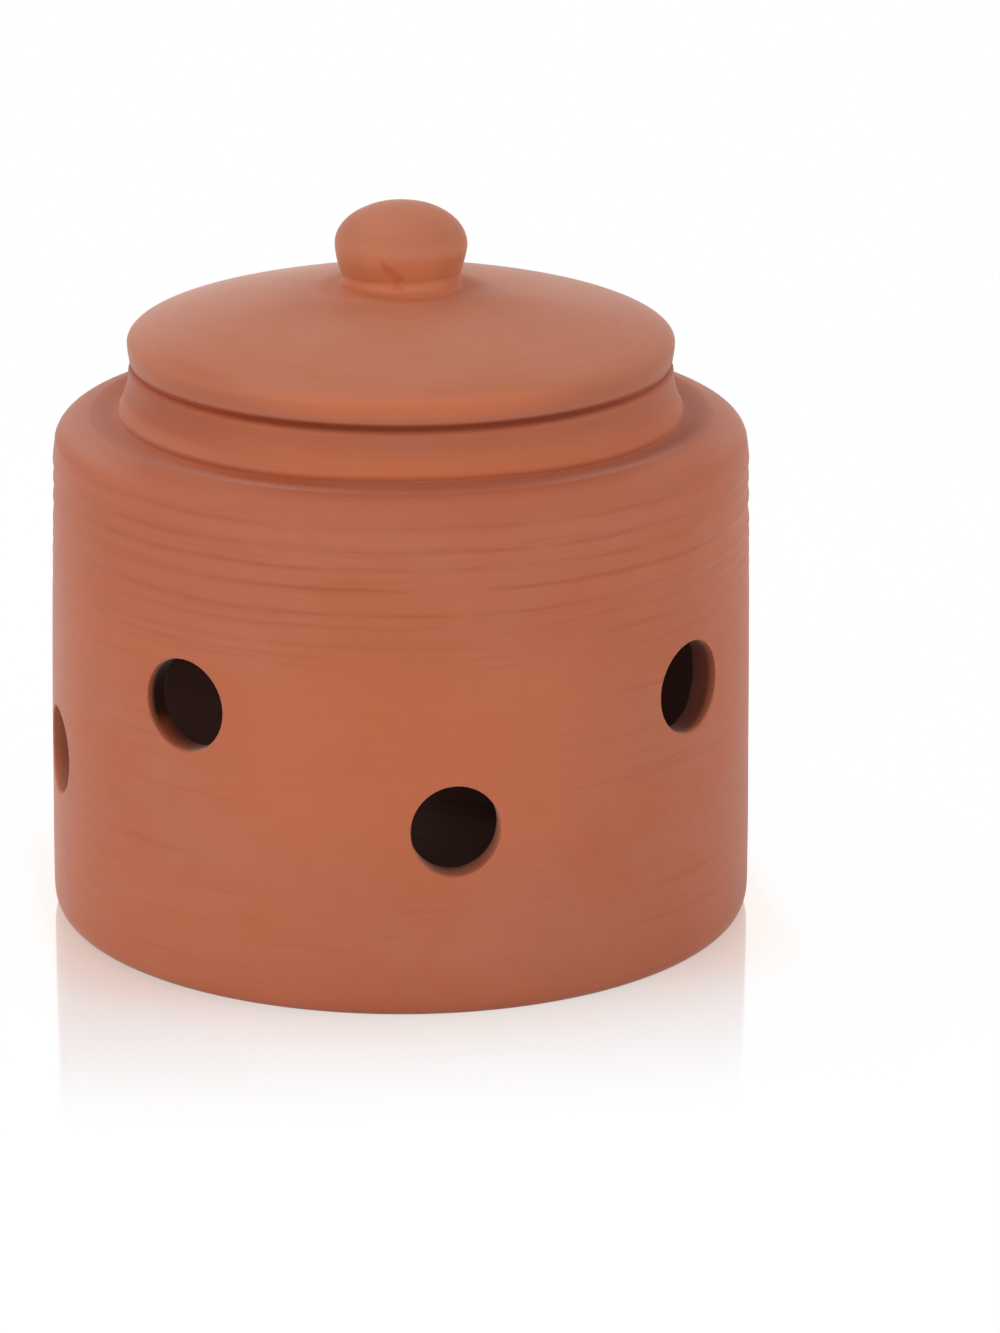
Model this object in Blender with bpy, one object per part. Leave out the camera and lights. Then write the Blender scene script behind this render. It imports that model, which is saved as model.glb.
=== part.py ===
# Clay garlic keeper: a thrown, ventilated jar with a flanged, knobbed lid.
# Metres, +Z up. The origin is the centre of the jar's standing face.

from math import acos, cos, pi, radians, sin, sqrt

import bmesh
import bpy

# Gap kept between pieces that rest on, or are luted to, each other
SEAT_GAP = 0.0003

# Jar body: a slightly tapered drum with a soft foot and a square shoulder
FOOT_RADIUS = 0.0706
WALL_TAPER = 0.0014
WALL_TAPER_POWER = 1.8
BODY_HEIGHT = 0.1024
BODY_WALL = 0.0055
FLOOR_THICKNESS = 0.0065
FOOT_ROUND_IN = 0.0044
FOOT_ROUND_UP = 0.0057
FOOT_SQUARENESS = 3.0
SHOULDER_DROP = 0.0098
SHOULDER_SQUARENESS = 3.3
FLOOR_CORNER = 0.0100
DISH_DEPTH = 0.0008
STANDING_WIDTH = 0.0120
DISH_EDGE = 0.0020

# Throwing rings left by the potter's fingers below the shoulder
RING_COUNT = 5
RING_PITCH = 0.0042
RING_DEPTH = 0.00028
RING_HALF_WIDTH = 0.0007
TOP_RING_DROP = 0.0053

# Collar: a rolled bead at its root, then a wall that leans in to the rim
RIM_SETBACK = 0.0165
COLLAR_HEIGHT = 0.0106
COLLAR_WALL = 0.0052
COLLAR_LEAN = 0.0024
COLLAR_LEAN_POWER = 1.5
BEAD_HEIGHT = 0.0024
BEAD_ROUND = 0.0011
GROOVE_DEPTH = 0.0008
GROOVE_HEIGHT = 0.0005
RIM_ROUND = 0.0009
NECK_ROUND = 0.0026

# Vents: round holes cut through the wall, in two staggered rows
VENTS_IN_ROW = 4
VENT_RADIUS = 0.00875
VENT_EDGE_ROUND = 0.0008
LOWER_ROW_HEIGHT = 0.0383
UPPER_ROW_HEIGHT = 0.0586
LEFT_VENT_DRIFT = radians(5.1)
LEFT_VENT_DROP = 0.0018
CUTTER_FLARE = 0.0007
CUTTER_REACH = 0.0040

# Lid: domed cover with a locating flange that hangs in the mouth
LID_OVERHANG = 0.0002
LID_LIP_HEIGHT = 0.0034
LID_CROWN_RISE = 0.0116
LID_EDGE_ROUND = 0.0033
LID_LOWER_ROUND = 0.0014
LID_WALL = 0.0056
FLANGE_CLEARANCE = 0.0010
FLANGE_WALL = 0.0045
FLANGE_DEPTH = 0.0080
FLANGE_ROUND = 0.0014

# Knob: pulled bulb on a short neck, luted to the crown inside a clay ring
KNOB_RADIUS = 0.0132
KNOB_TOP_RISE = 0.0088
KNOB_UNDER_DROP = 0.0046
NECK_RADIUS = 0.0110
BARE_NECK = 0.0006
FOOT_RING_HEIGHT = 0.0028
FOOT_RING_WIDTH = 0.0013
FOOT_RING_TOP_WIDTH = 0.0005

# Facets round each piece
BODY_SEGMENTS = 56
KNOB_SEGMENTS = 40
VENT_SIDES = 28

# Heights and radii that follow from the sizes above
RIM_HEIGHT = BODY_HEIGHT + COLLAR_HEIGHT
RIM_RADIUS = FOOT_RADIUS - RIM_SETBACK
BEAD_RADIUS = RIM_RADIUS + COLLAR_LEAN
LID_SEAT_HEIGHT = RIM_HEIGHT + SEAT_GAP
SHOULDER_START = BODY_HEIGHT - SHOULDER_DROP
MOUTH_RADIUS = RIM_RADIUS - COLLAR_WALL
LID_RADIUS = RIM_RADIUS + LID_OVERHANG
FLANGE_RADIUS = MOUTH_RADIUS - FLANGE_CLEARANCE
CROWN_TOP = LID_LIP_HEIGHT + LID_CROWN_RISE


def clear_scene():
    for old in list(bpy.data.objects):
        bpy.data.objects.remove(old, do_unlink=True)


def clay(name, colour):
    material = bpy.data.materials.new(name)
    material.use_nodes = True
    shader = material.node_tree.nodes["Principled BSDF"]
    shader.inputs["Base Color"].default_value = (*colour, 1.0)
    shader.inputs["Roughness"].default_value = 0.85
    shader.inputs["Metallic"].default_value = 0.0
    return material


def corner(centre, half_width, half_height, steps, start=0.0, end=90.0, squareness=2.0):
    # Points on an ellipse, or on a squarer corner, from one angle to another in degrees
    points = []
    for step in range(steps + 1):
        angle = radians(start + (end - start) * step / steps)
        across = abs(cos(angle)) ** (2.0 / squareness)
        along = abs(sin(angle)) ** (2.0 / squareness)
        side = 1.0 if cos(angle) >= 0.0 else -1.0
        rise = 1.0 if sin(angle) >= 0.0 else -1.0
        points.append((centre[0] + half_width * across * side, centre[1] + half_height * along * rise))
    return points


def turned(name, profile, segments, material, closed=False):
    # A piece thrown on the wheel: a profile of (radius, height) swept once round Z
    mesh = bpy.data.meshes.new(name)
    vertices = [(radius, 0.0, height) for radius, height in profile]
    edges = [(i, i + 1) for i in range(len(profile) - 1)]
    if closed:
        edges.append((len(profile) - 1, 0))
    mesh.from_pydata(vertices, edges, [])
    mesh.materials.append(material)
    piece = bpy.data.objects.new(name, mesh)
    bpy.context.collection.objects.link(piece)
    sweep = piece.modifiers.new("sweep", "SCREW")
    sweep.axis = "Z"
    sweep.angle = 2.0 * pi
    sweep.steps = segments
    sweep.render_steps = segments
    sweep.use_merge_vertices = True
    sweep.merge_threshold = 0.00001
    sweep.use_smooth_shade = True
    return piece


def wall_radius(height):
    # Outer radius of the drum, from the foot up to where the shoulder turns in
    share = (height - FOOT_ROUND_UP) / (SHOULDER_START - FOOT_ROUND_UP)
    return FOOT_RADIUS - WALL_TAPER * max(share, 0.0) ** WALL_TAPER_POWER


def outer_radius(height):
    # Outer radius of the body at any height between the foot and the collar
    if height <= SHOULDER_START:
        return wall_radius(height)
    rise = (height - SHOULDER_START) / SHOULDER_DROP
    reach = (1.0 - rise ** SHOULDER_SQUARENESS) ** (1.0 / SHOULDER_SQUARENESS)
    return BEAD_RADIUS + (wall_radius(SHOULDER_START) - BEAD_RADIUS) * reach


def body_side():
    # Outer side from the top of the shoulder down to the foot, as (radius, height)
    shoulder_width = wall_radius(SHOULDER_START) - BEAD_RADIUS
    side = corner((BEAD_RADIUS, SHOULDER_START), shoulder_width, SHOULDER_DROP, 7,
                  84.0, 0.0, SHOULDER_SQUARENESS)
    rings = []
    for ring in range(RING_COUNT):
        height = BODY_HEIGHT - TOP_RING_DROP - ring * RING_PITCH
        rings.append((height + RING_HALF_WIDTH, 0.0))
        rings.append((height, RING_DEPTH))
        rings.append((height - RING_HALF_WIDTH, 0.0))
    ringed_top = rings[0][0]
    ringed_bottom = rings[-1][0]
    side = [point for point in side if point[1] > ringed_top + RING_HALF_WIDTH]
    side += [(outer_radius(height) - depth, height) for height, depth in rings]
    middle = (ringed_bottom + FOOT_ROUND_UP) / 2.0
    side.append((outer_radius(middle), middle))
    return side


def collar_lean(top, bottom, steps=4):
    # Points between the rim and the bead, on a curve that flares out towards the bead
    points = []
    for step in range(1, steps):
        share = step / steps
        radius = top[0] + (bottom[0] - top[0]) * share ** COLLAR_LEAN_POWER
        points.append((radius, top[1] + (bottom[1] - top[1]) * share))
    return points


def jar_profile():
    contact_radius = FOOT_RADIUS - FOOT_ROUND_IN
    inner_foot = FOOT_RADIUS - BODY_WALL
    inner_shoulder = wall_radius(SHOULDER_START) - BODY_WALL
    neck_bottom = BODY_HEIGHT - BODY_WALL
    floor_corner = corner((inner_foot - FLOOR_CORNER, FLOOR_THICKNESS + FLOOR_CORNER),
                          FLOOR_CORNER, FLOOR_CORNER, 5, -90.0, 0.0)
    inner_vault = corner((MOUTH_RADIUS + NECK_ROUND, SHOULDER_START - BODY_WALL),
                         inner_shoulder - MOUTH_RADIUS - NECK_ROUND, SHOULDER_DROP,
                         4, 0.0, 90.0, SHOULDER_SQUARENESS)
    neck = corner((MOUTH_RADIUS + NECK_ROUND, neck_bottom + NECK_ROUND),
                  NECK_ROUND, NECK_ROUND, 3, 270.0, 180.0)
    rim_inside = corner((MOUTH_RADIUS + RIM_ROUND, RIM_HEIGHT - RIM_ROUND),
                        RIM_ROUND, RIM_ROUND, 2, 180.0, 90.0)
    rim_outside = corner((RIM_RADIUS - RIM_ROUND, RIM_HEIGHT - RIM_ROUND),
                         RIM_ROUND, RIM_ROUND, 2, 90.0, 0.0)
    bead = corner((BEAD_RADIUS - BEAD_ROUND, BODY_HEIGHT + BEAD_HEIGHT),
                  BEAD_ROUND, BEAD_ROUND, 4, 60.0, -60.0)
    lean = collar_lean(rim_outside[-1], bead[0])
    groove = [(BEAD_RADIUS - GROOVE_DEPTH, BODY_HEIGHT + GROOVE_HEIGHT)]
    foot = corner((contact_radius, FOOT_ROUND_UP), FOOT_ROUND_IN, -FOOT_ROUND_UP,
                  5, 0.0, 90.0, FOOT_SQUARENESS)
    dish_radius = contact_radius - STANDING_WIDTH
    dish = [(dish_radius, 0.0), (dish_radius - DISH_EDGE, DISH_DEPTH), (0.0, DISH_DEPTH)]
    inside = [(0.0, FLOOR_THICKNESS)] + floor_corner + inner_vault + neck[1:]
    outside = rim_outside + lean + bead + groove + body_side() + foot + dish
    return inside + rim_inside + outside


def vent_places():
    # (turn from the front in radians, height) of each vent; the left lower one was cut off its place
    step = 2.0 * pi / VENTS_IN_ROW
    places = []
    for number in range(VENTS_IN_ROW):
        off_place = number == VENTS_IN_ROW - 1
        drift = LEFT_VENT_DRIFT if off_place else 0.0
        drop = LEFT_VENT_DROP if off_place else 0.0
        places.append((number * step + drift, LOWER_ROW_HEIGHT - drop))
    for number in range(VENTS_IN_ROW):
        places.append(((number + 0.5) * step, UPPER_ROW_HEIGHT))
    return places


def vent_ring(cutter, turn, height, hole_radius, depth, reach=None):
    # One ring of a vent cutter, laid on the wall's curve at a depth, or flat at a reach
    ring = []
    for side in range(VENT_SIDES):
        angle = 2.0 * pi * side / VENT_SIDES
        across = hole_radius * cos(angle)
        level = height + hole_radius * sin(angle)
        radial = sqrt(outer_radius(level) ** 2 - across ** 2) + depth
        if reach is not None:
            radial = reach
        x = radial * sin(turn) + across * cos(turn)
        y = across * sin(turn) - radial * cos(turn)
        ring.append(cutter.verts.new((x, y, level)))
    return ring


def vent_cutter():
    # Eight round tools whose mouths flare along the curved wall, so the edges come out soft
    cutter = bmesh.new()
    for turn, height in vent_places():
        inner_reach = FOOT_RADIUS - BODY_WALL - CUTTER_REACH
        outer_reach = FOOT_RADIUS + CUTTER_REACH
        bend = 0.3 * VENT_EDGE_ROUND
        mouth = VENT_RADIUS + VENT_EDGE_ROUND + CUTTER_FLARE
        rings = [
            vent_ring(cutter, turn, height, VENT_RADIUS, 0.0, inner_reach),
            vent_ring(cutter, turn, height, VENT_RADIUS, -VENT_EDGE_ROUND),
            vent_ring(cutter, turn, height, VENT_RADIUS + bend, -bend),
            vent_ring(cutter, turn, height, mouth, 0.4 * CUTTER_FLARE),
            vent_ring(cutter, turn, height, mouth, 0.0, outer_reach),
        ]
        for near, far in zip(rings, rings[1:]):
            for side in range(VENT_SIDES):
                following = (side + 1) % VENT_SIDES
                cutter.faces.new((near[side], near[following], far[following], far[side]))
        cutter.faces.new(rings[0])
        cutter.faces.new(rings[-1])
    bmesh.ops.recalc_face_normals(cutter, faces=cutter.faces)
    mesh = bpy.data.meshes.new("vent_cutter")
    cutter.to_mesh(mesh)
    cutter.free()
    tool = bpy.data.objects.new("vent_cutter", mesh)
    bpy.context.collection.objects.link(tool)
    tool.hide_render = True
    tool.display_type = "WIRE"
    return tool


def make_jar(material):
    jar = turned("jar", jar_profile(), BODY_SEGMENTS, material)
    vents = jar.modifiers.new("vents", "BOOLEAN")
    vents.operation = "DIFFERENCE"
    vents.solver = "EXACT"
    vents.object = vent_cutter()
    even = jar.modifiers.new("even_shading", "WEIGHTED_NORMAL")
    even.mode = "FACE_AREA"
    return jar


def crown_radius():
    # The crown is part of a sphere that runs smoothly into the rounded edge
    edge = LID_RADIUS - LID_EDGE_ROUND
    return (edge ** 2 + LID_CROWN_RISE ** 2 - LID_EDGE_ROUND ** 2) / (2.0 * (LID_CROWN_RISE - LID_EDGE_ROUND))


def crown_height(radius, below=0.0):
    # Height of the crown over the lid's seat at a radius, or of a surface below it
    sphere = crown_radius()
    return CROWN_TOP - sphere + sqrt((sphere - below) ** 2 - radius ** 2)


def lid_profile():
    sphere = crown_radius()
    edge = LID_RADIUS - LID_EDGE_ROUND
    meeting = edge * sphere / (sphere - LID_EDGE_ROUND)
    crown = []
    crown_steps = 8
    for step in range(crown_steps):
        radius = meeting * step / crown_steps
        crown.append((radius, crown_height(radius)))
    edge_start = 90.0 - 180.0 / pi * (pi / 2.0 - acos(edge / (sphere - LID_EDGE_ROUND)))
    rim = corner((edge, LID_LIP_HEIGHT), LID_EDGE_ROUND, LID_EDGE_ROUND, 5, edge_start, 0.0)
    under = corner((LID_RADIUS - LID_LOWER_ROUND, LID_LOWER_ROUND),
                   LID_LOWER_ROUND, LID_LOWER_ROUND, 3, 0.0, -90.0)
    flange_inside = FLANGE_RADIUS - FLANGE_WALL
    tip_round = min(FLANGE_ROUND, 0.45 * FLANGE_WALL)
    tip = corner((FLANGE_RADIUS - tip_round, tip_round - FLANGE_DEPTH),
                 tip_round, tip_round, 3, 0.0, -90.0)
    tip += corner((flange_inside + tip_round, tip_round - FLANGE_DEPTH),
                  tip_round, tip_round, 3, 270.0, 180.0)
    vault = []
    vault_steps = 6
    for step in range(vault_steps, -1, -1):
        radius = flange_inside * step / vault_steps
        vault.append((radius, crown_height(radius, LID_WALL)))
    return crown + rim + under + [(FLANGE_RADIUS, 0.0)] + tip + vault


def make_lid(material):
    lid = turned("lid", lid_profile(), BODY_SEGMENTS, material)
    lid.location = (0.0, 0.0, LID_SEAT_HEIGHT)
    return lid


def foot_ring_top():
    # Top of the ring of clay round the neck, over the top of the crown
    return crown_height(NECK_RADIUS + SEAT_GAP) - CROWN_TOP + SEAT_GAP + FOOT_RING_HEIGHT


def knob_profile():
    # Heights are over the top of the crown; the underside is dished to sit on it
    widest = foot_ring_top() + BARE_NECK + KNOB_UNDER_DROP
    bulb = corner((0.0, widest), KNOB_RADIUS, KNOB_TOP_RISE, 9, 90.0, 0.0)
    bulge = KNOB_RADIUS - NECK_RADIUS
    under = corner((NECK_RADIUS, widest), bulge, KNOB_UNDER_DROP, 4, 0.0, -90.0)
    seat = []
    seat_steps = 3
    for step in range(seat_steps, -1, -1):
        radius = NECK_RADIUS * step / seat_steps
        seat.append((radius, crown_height(radius) - CROWN_TOP + SEAT_GAP))
    return bulb + under[1:] + seat


def make_knob(material, lid):
    knob = turned("lid_knob", knob_profile(), KNOB_SEGMENTS, material)
    knob.parent = lid
    knob.location = (0.0, 0.0, CROWN_TOP)
    return knob


def foot_ring_profile():
    # A coil of clay pressed into the angle between the neck and the crown
    inside = NECK_RADIUS + SEAT_GAP
    outside = inside + FOOT_RING_WIDTH
    shoulder = inside + FOOT_RING_TOP_WIDTH
    inner_foot = crown_height(inside) - CROWN_TOP + SEAT_GAP
    outer_foot = crown_height(outside) - CROWN_TOP + SEAT_GAP
    top = foot_ring_top()
    slope = corner((shoulder, outer_foot + FOOT_RING_TOP_WIDTH),
                   outside - shoulder, top - outer_foot - FOOT_RING_TOP_WIDTH, 4, 90.0, 0.0)
    return [(inside, top)] + slope + [(outside, outer_foot), (inside, inner_foot)]


def make_foot_ring(material, lid):
    ring = turned("knob_foot_ring", foot_ring_profile(), KNOB_SEGMENTS, material, closed=True)
    ring.parent = lid
    ring.location = (0.0, 0.0, CROWN_TOP)
    return ring


def main():
    clear_scene()
    body_clay = clay("body_clay", (0.456, 0.141, 0.074))
    lid_clay = clay("lid_clay", (0.505, 0.178, 0.102))
    knob_clay = clay("knob_clay", (0.480, 0.160, 0.088))
    ring_clay = clay("ring_clay", (0.462, 0.143, 0.072))
    make_jar(body_clay)
    lid = make_lid(lid_clay)
    make_knob(knob_clay, lid)
    make_foot_ring(ring_clay, lid)


main()
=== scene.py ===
from math import asin, atan2, cos, degrees, exp, pi, radians, sin, sqrt, tan

import bpy
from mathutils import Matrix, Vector


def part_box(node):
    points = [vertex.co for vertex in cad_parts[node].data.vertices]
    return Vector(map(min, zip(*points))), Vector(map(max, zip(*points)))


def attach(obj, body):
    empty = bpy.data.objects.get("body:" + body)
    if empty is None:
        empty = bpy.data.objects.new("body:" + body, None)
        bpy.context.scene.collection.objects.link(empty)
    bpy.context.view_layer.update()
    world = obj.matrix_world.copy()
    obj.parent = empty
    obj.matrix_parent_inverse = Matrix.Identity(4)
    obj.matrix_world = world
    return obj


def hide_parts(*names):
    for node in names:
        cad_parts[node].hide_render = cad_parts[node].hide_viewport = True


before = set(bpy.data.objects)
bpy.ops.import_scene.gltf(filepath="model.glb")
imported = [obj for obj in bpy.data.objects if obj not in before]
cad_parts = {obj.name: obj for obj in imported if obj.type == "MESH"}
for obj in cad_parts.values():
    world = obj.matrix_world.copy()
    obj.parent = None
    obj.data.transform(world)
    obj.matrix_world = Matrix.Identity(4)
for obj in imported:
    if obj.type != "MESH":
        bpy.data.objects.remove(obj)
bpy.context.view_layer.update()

# Clay garlic keeper: a thrown jar with throwing rings and vents, and a domed lid with a luted knob.
# Metres, +Z up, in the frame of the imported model. The front is -Y.

MM = 0.001

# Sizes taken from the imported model
jar_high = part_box("jar")[1]
lid_low, lid_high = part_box("lid")
knob_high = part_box("lid_knob")[1]
FOOT_RADIUS = jar_high.x
RIM_HEIGHT = jar_high.z
LID_RADIUS = lid_high.x
FLANGE_TIP = lid_low.z

# Jar body
WALL_TAPER = 1.2 * MM
WALL_TAPER_POWER = 1.8
WALL = 5.5 * MM
FLOOR = 6.5 * MM
FLOOR_CORNER = 10.0 * MM
FOOT_ROUND_IN = 4.4 * MM
FOOT_ROUND_UP = 5.7 * MM
FOOT_SQUARENESS = 3.0
COLLAR_HEIGHT = 10.6 * MM
BODY_HEIGHT = RIM_HEIGHT - COLLAR_HEIGHT
SHOULDER_DROP = 9.8 * MM
SHOULDER_SQUARENESS = 3.3
SHOULDER_START = BODY_HEIGHT - SHOULDER_DROP
DISH_DEPTH = 0.8 * MM
DISH_EDGE = 2.0 * MM
STANDING_WIDTH = 12.0 * MM

# Collar: a lean-in wall on a rolled bead, with a tooled groove at its root
RIM_RADIUS = FOOT_RADIUS - 16.5 * MM
RIM_ROUND = 0.9 * MM
RIM_OUTER_ROUND = 1.6 * MM
RIM_OUTER_DROP = 1.9 * MM
GAP_SQUARENESS = 1.5
COLLAR_LEAN = 2.0 * MM
COLLAR_LEAN_POWER = 2.1
BEAD_RADIUS = RIM_RADIUS + COLLAR_LEAN
BEAD_HEIGHT = 1.45 * MM
BEAD_ROUND = 1.3 * MM
BEAD_SIDE_DROP = 0.60 * MM
GROOVE_DROP = 0.12 * MM
GROOVE_WIDTH = 6.0 * MM
MOUTH_RADIUS = RIM_RADIUS - 5.2 * MM
NECK_ROUND = 2.6 * MM

# Throwing rings: height, step in below the line, and run of the step down the wall, in millimetres
THROWING_RINGS = (
    (97.3, 0.17, 3.9), (92.8, 0.19, 3.0), (89.3, 0.21, 3.5), (85.4, 0.24, 4.4), (80.6, 0.20, 2.7),
    (77.9, 0.13, 3.2), (74.2, 0.11, 2.2), (71.8, 0.09, 1.6), (70.1, 0.07, 2.0),
)
RINGED_FROM = 66.0 * MM
RINGED_TO = 100.0 * MM
RING_ROW = 0.4 * MM
LEDGE = 0.55 * MM
STEADY_SHARE = 0.45
DEEPEST_RING = 0.24 * MM

# Finger tracks inside the jar
TRACK_PITCH = 6.2 * MM
TRACK_DEPTH = 0.30 * MM

# How far the surface of the jar, lid and knob strays, and the size of the clouds that it follows
RING_DEPTH = 1.3 * DEEPEST_RING
RING_CLOUDS = (45.0 * MM, 45.0 * MM, 7.0 * MM)
FINGER_LINES = 0.12 * MM
FINGER_CLOUDS = (40.0 * MM, 40.0 * MM, 1.3 * MM)
OUT_OF_ROUND = 0.30 * MM
ROUND_CLOUDS = (55.0 * MM, 55.0 * MM, 40.0 * MM)
CROWN_WOBBLE = 0.10 * MM
CROWN_CLOUDS = (22.0 * MM, 22.0 * MM, 22.0 * MM)
THUMB_MARKS = 0.22 * MM
THUMB_CLOUDS = (9.0 * MM, 9.0 * MM, 9.0 * MM)

# Vents: turn from the front towards +X in degrees, height in millimetres, then width and height as shares
VENT_RADIUS = 8.75 * MM
VENTS = (
    (0.2, 37.8, 0.99, 1.03), (90.0, 38.3, 1.02, 1.01),
    (180.0, 38.3, 1.01, 1.02), (275.1, 36.5, 1.02, 1.00),
    (45.1, 57.7, 1.09, 1.05), (135.0, 58.6, 1.02, 1.03),
    (225.0, 58.6, 1.03, 1.02), (315.0, 58.7, 1.04, 1.05),
)
VENT_LEVEL = 50.0 * MM
VENT_ROUND = 0.50 * MM
VENT_INNER_ROUND = 0.5 * MM
VENT_FLARE = 22.0
VENT_LEAD = 0.5 * MM
VENT_TOOL_REACH = 4.0 * MM
VENT_SIDES = 72

# Lid: a shallow crown that rolls over its edge into a rounded lip, with a flange that hangs in the mouth
SEAT_HEIGHT = RIM_HEIGHT + 0.3 * MM
LIP_CLEARANCE = 0.03 * MM
LIP_BOTTOM = RIM_HEIGHT + LIP_CLEARANCE
CROWN_RISE = 15.0 * MM
CROWN_SPHERE = 164.13 * MM
ROLL_START = 45.0 * MM
ROLL_REACH = 5.5 * MM
ROLL_DROP = 2.2 * MM
LID_LOWER_ROUND = 0.7 * MM
LID_LOWER_RISE = 1.5 * MM
LID_TURN_IN = 0.30 * MM
LID_LIP = 3.5 * MM
LID_WALL = 5.6 * MM
FLANGE_RADIUS = MOUTH_RADIUS - 1.0 * MM
FLANGE_WALL = 4.5 * MM
FLANGE_ROUND = 1.4 * MM
VAULT_ROUND = 2.0 * MM

# Knob and the ring of clay round its neck
KNOB_TOP = knob_high.z - 0.35 * MM
KNOB_RADIUS = knob_high.x
KNOB_RISE = 8.5 * MM
CREASE_HEIGHT = 135.2 * MM
CREASE_RADIUS = 13.10 * MM
BULB_ROOT_RADIUS = 12.0 * MM
BULB_ROOT_HEIGHT = 131.2 * MM
NECK_RADIUS = 11.2 * MM
NECK_CLEARANCE = 0.04 * MM
LUTE_GAP = 0.1 * MM
NECK_SAG = 0.50 * MM
COIL_TOP = 131.3 * MM
COIL_RADIUS = 12.0 * MM
COIL_WAIST = 11.75 * MM
COIL_FOOT = 12.25 * MM
COIL_SWELL = 0.60 * MM
SEAM_TURN = -11.5
SEAM_WIDTH = 1.2 * MM
SEAM_DEPTH = 0.35 * MM
FOLD_FROM = (-25.0, 134.3)
FOLD_TO = (-9.0, 131.2)
FOLD_WIDTH = 1.1 * MM
FOLD_DEPTH = 0.40 * MM
FOLD_STEP = 1.4 * MM

SPIN_STEPS = 256
KNOB_STEPS = 240


# Modelling helpers

def clear_selection():
    if bpy.context.object and bpy.context.object.mode != "OBJECT":
        bpy.ops.object.mode_set(mode="OBJECT")
    bpy.ops.object.select_all(action="DESELECT")


def take(piece):
    clear_selection()
    piece.select_set(True)
    bpy.context.view_layer.objects.active = piece


def settle(piece):
    take(piece)
    bpy.ops.object.transform_apply(location=True, rotation=True, scale=True)


def arc(centre, half_width, half_height, steps, start, end, squareness=2.0):
    # Points on an ellipse, or on a squarer corner, from one angle to another in degrees
    points = []
    for step in range(steps + 1):
        angle = radians(start + (end - start) * step / steps)
        across = abs(cos(angle)) ** (2.0 / squareness)
        along = abs(sin(angle)) ** (2.0 / squareness)
        side = 1.0 if cos(angle) >= 0.0 else -1.0
        rise = 1.0 if sin(angle) >= 0.0 else -1.0
        points.append((centre[0] + half_width * across * side, centre[1] + half_height * along * rise))
    return points


def sweep(start, near_start, near_end, end, steps):
    # A soft curve between two points, drawn towards two others on the way
    points = []
    for step in range(steps + 1):
        t = step / steps
        shares = ((1.0 - t) ** 3, 3.0 * t * (1.0 - t) ** 2, 3.0 * t ** 2 * (1.0 - t), t ** 3)
        pulls = list(zip(shares, (start, near_start, near_end, end)))
        points.append((sum(share * radius for share, (radius, height) in pulls),
                       sum(share * height for share, (radius, height) in pulls)))
    return points


def rows(start, end, spacing):
    # Evenly spaced values between two ends, the ends left out
    count = max(int(round(abs(end - start) / spacing)), 1)
    return [start + (end - start) * step / count for step in range(1, count)]


def thrown(name, outline, steps):
    # An outline drawn point by point beside the wheel's axis, then spun once round it
    clear_selection()
    radius, height = outline[0]
    bpy.ops.mesh.primitive_plane_add(size=MM, location=(radius, 0.0, height))
    piece = bpy.context.object
    piece.name = name
    piece.data.name = name
    settle(piece)
    bpy.ops.object.mode_set(mode="EDIT")
    bpy.ops.mesh.select_all(action="SELECT")
    bpy.ops.mesh.merge(type="CENTER")
    for near, far in zip(outline, outline[1:]):
        move = (far[0] - near[0], 0.0, far[1] - near[1])
        bpy.ops.mesh.extrude_vertices_move(TRANSFORM_OT_translate={"value": move})
    bpy.ops.mesh.select_all(action="SELECT")
    bpy.ops.mesh.spin(steps=steps, angle=2.0 * pi, center=(0.0, 0.0, 0.0), axis=(0.0, 0.0, 1.0))
    bpy.ops.mesh.select_all(action="SELECT")
    bpy.ops.mesh.remove_doubles(threshold=0.01 * MM)
    bpy.ops.mesh.normals_make_consistent(inside=False)
    bpy.ops.object.mode_set(mode="OBJECT")
    bpy.ops.object.shade_smooth()
    return piece


def weigh(piece, name, weight_at):
    # A vertex group whose weights follow each vertex's place
    group = piece.vertex_groups.new(name=name)
    for vertex in piece.data.vertices:
        weight = weight_at(vertex.co)
        if weight > 0.0:
            group.add([vertex.index], min(weight, 1.0), "REPLACE")
    return group.name


def push(piece, group, strength, mid_level=0.0, texture=None, stretch=None, direction="NORMAL"):
    # Pushes a piece in or out, or up, where the group is, by an even or a clouded amount
    take(piece)
    displace = piece.modifiers.new("push", "DISPLACE")
    displace.vertex_group = group
    displace.direction = direction
    displace.strength = strength
    displace.mid_level = mid_level
    field = None
    if texture:
        displace.texture = texture
        displace.texture_coords = "OBJECT"
        field = bpy.data.objects.new("field", None)
        bpy.context.scene.collection.objects.link(field)
        field.scale = stretch
        bpy.context.view_layer.update()
        displace.texture_coords_object = field
    bpy.ops.object.modifier_apply(modifier=displace.name)
    if field:
        bpy.data.objects.remove(field)


def clouds(name, depth=2, contrast=1.0):
    texture = bpy.data.textures.new(name, "CLOUDS")
    texture.noise_scale = 1.0
    texture.noise_depth = depth
    texture.contrast = contrast
    return texture


def smooth(share):
    share = min(max(share, 0.0), 1.0)
    return share * share * (3.0 - 2.0 * share)


def round_the_axis(place):
    # Turn from the front towards +X, in degrees
    return degrees(atan2(place.x, -place.y))


# The jar

def wall_radius(height):
    share = (height - FOOT_ROUND_UP) / (SHOULDER_START - FOOT_ROUND_UP)
    return FOOT_RADIUS - WALL_TAPER * max(share, 0.0) ** WALL_TAPER_POWER


def ring_step(height):
    # How far the wall steps in below the throwing lines, as a share of the deepest ring
    depth = 0.0
    for line, step_in, run in THROWING_RINGS:
        below = line * MM - height
        edge = smooth((below + LEDGE) / (2.0 * LEDGE))
        tail = 1.0 - smooth((below - LEDGE) / (run * MM))
        depth = max(depth, step_in * MM * edge * tail)
    return depth / DEEPEST_RING


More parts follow.
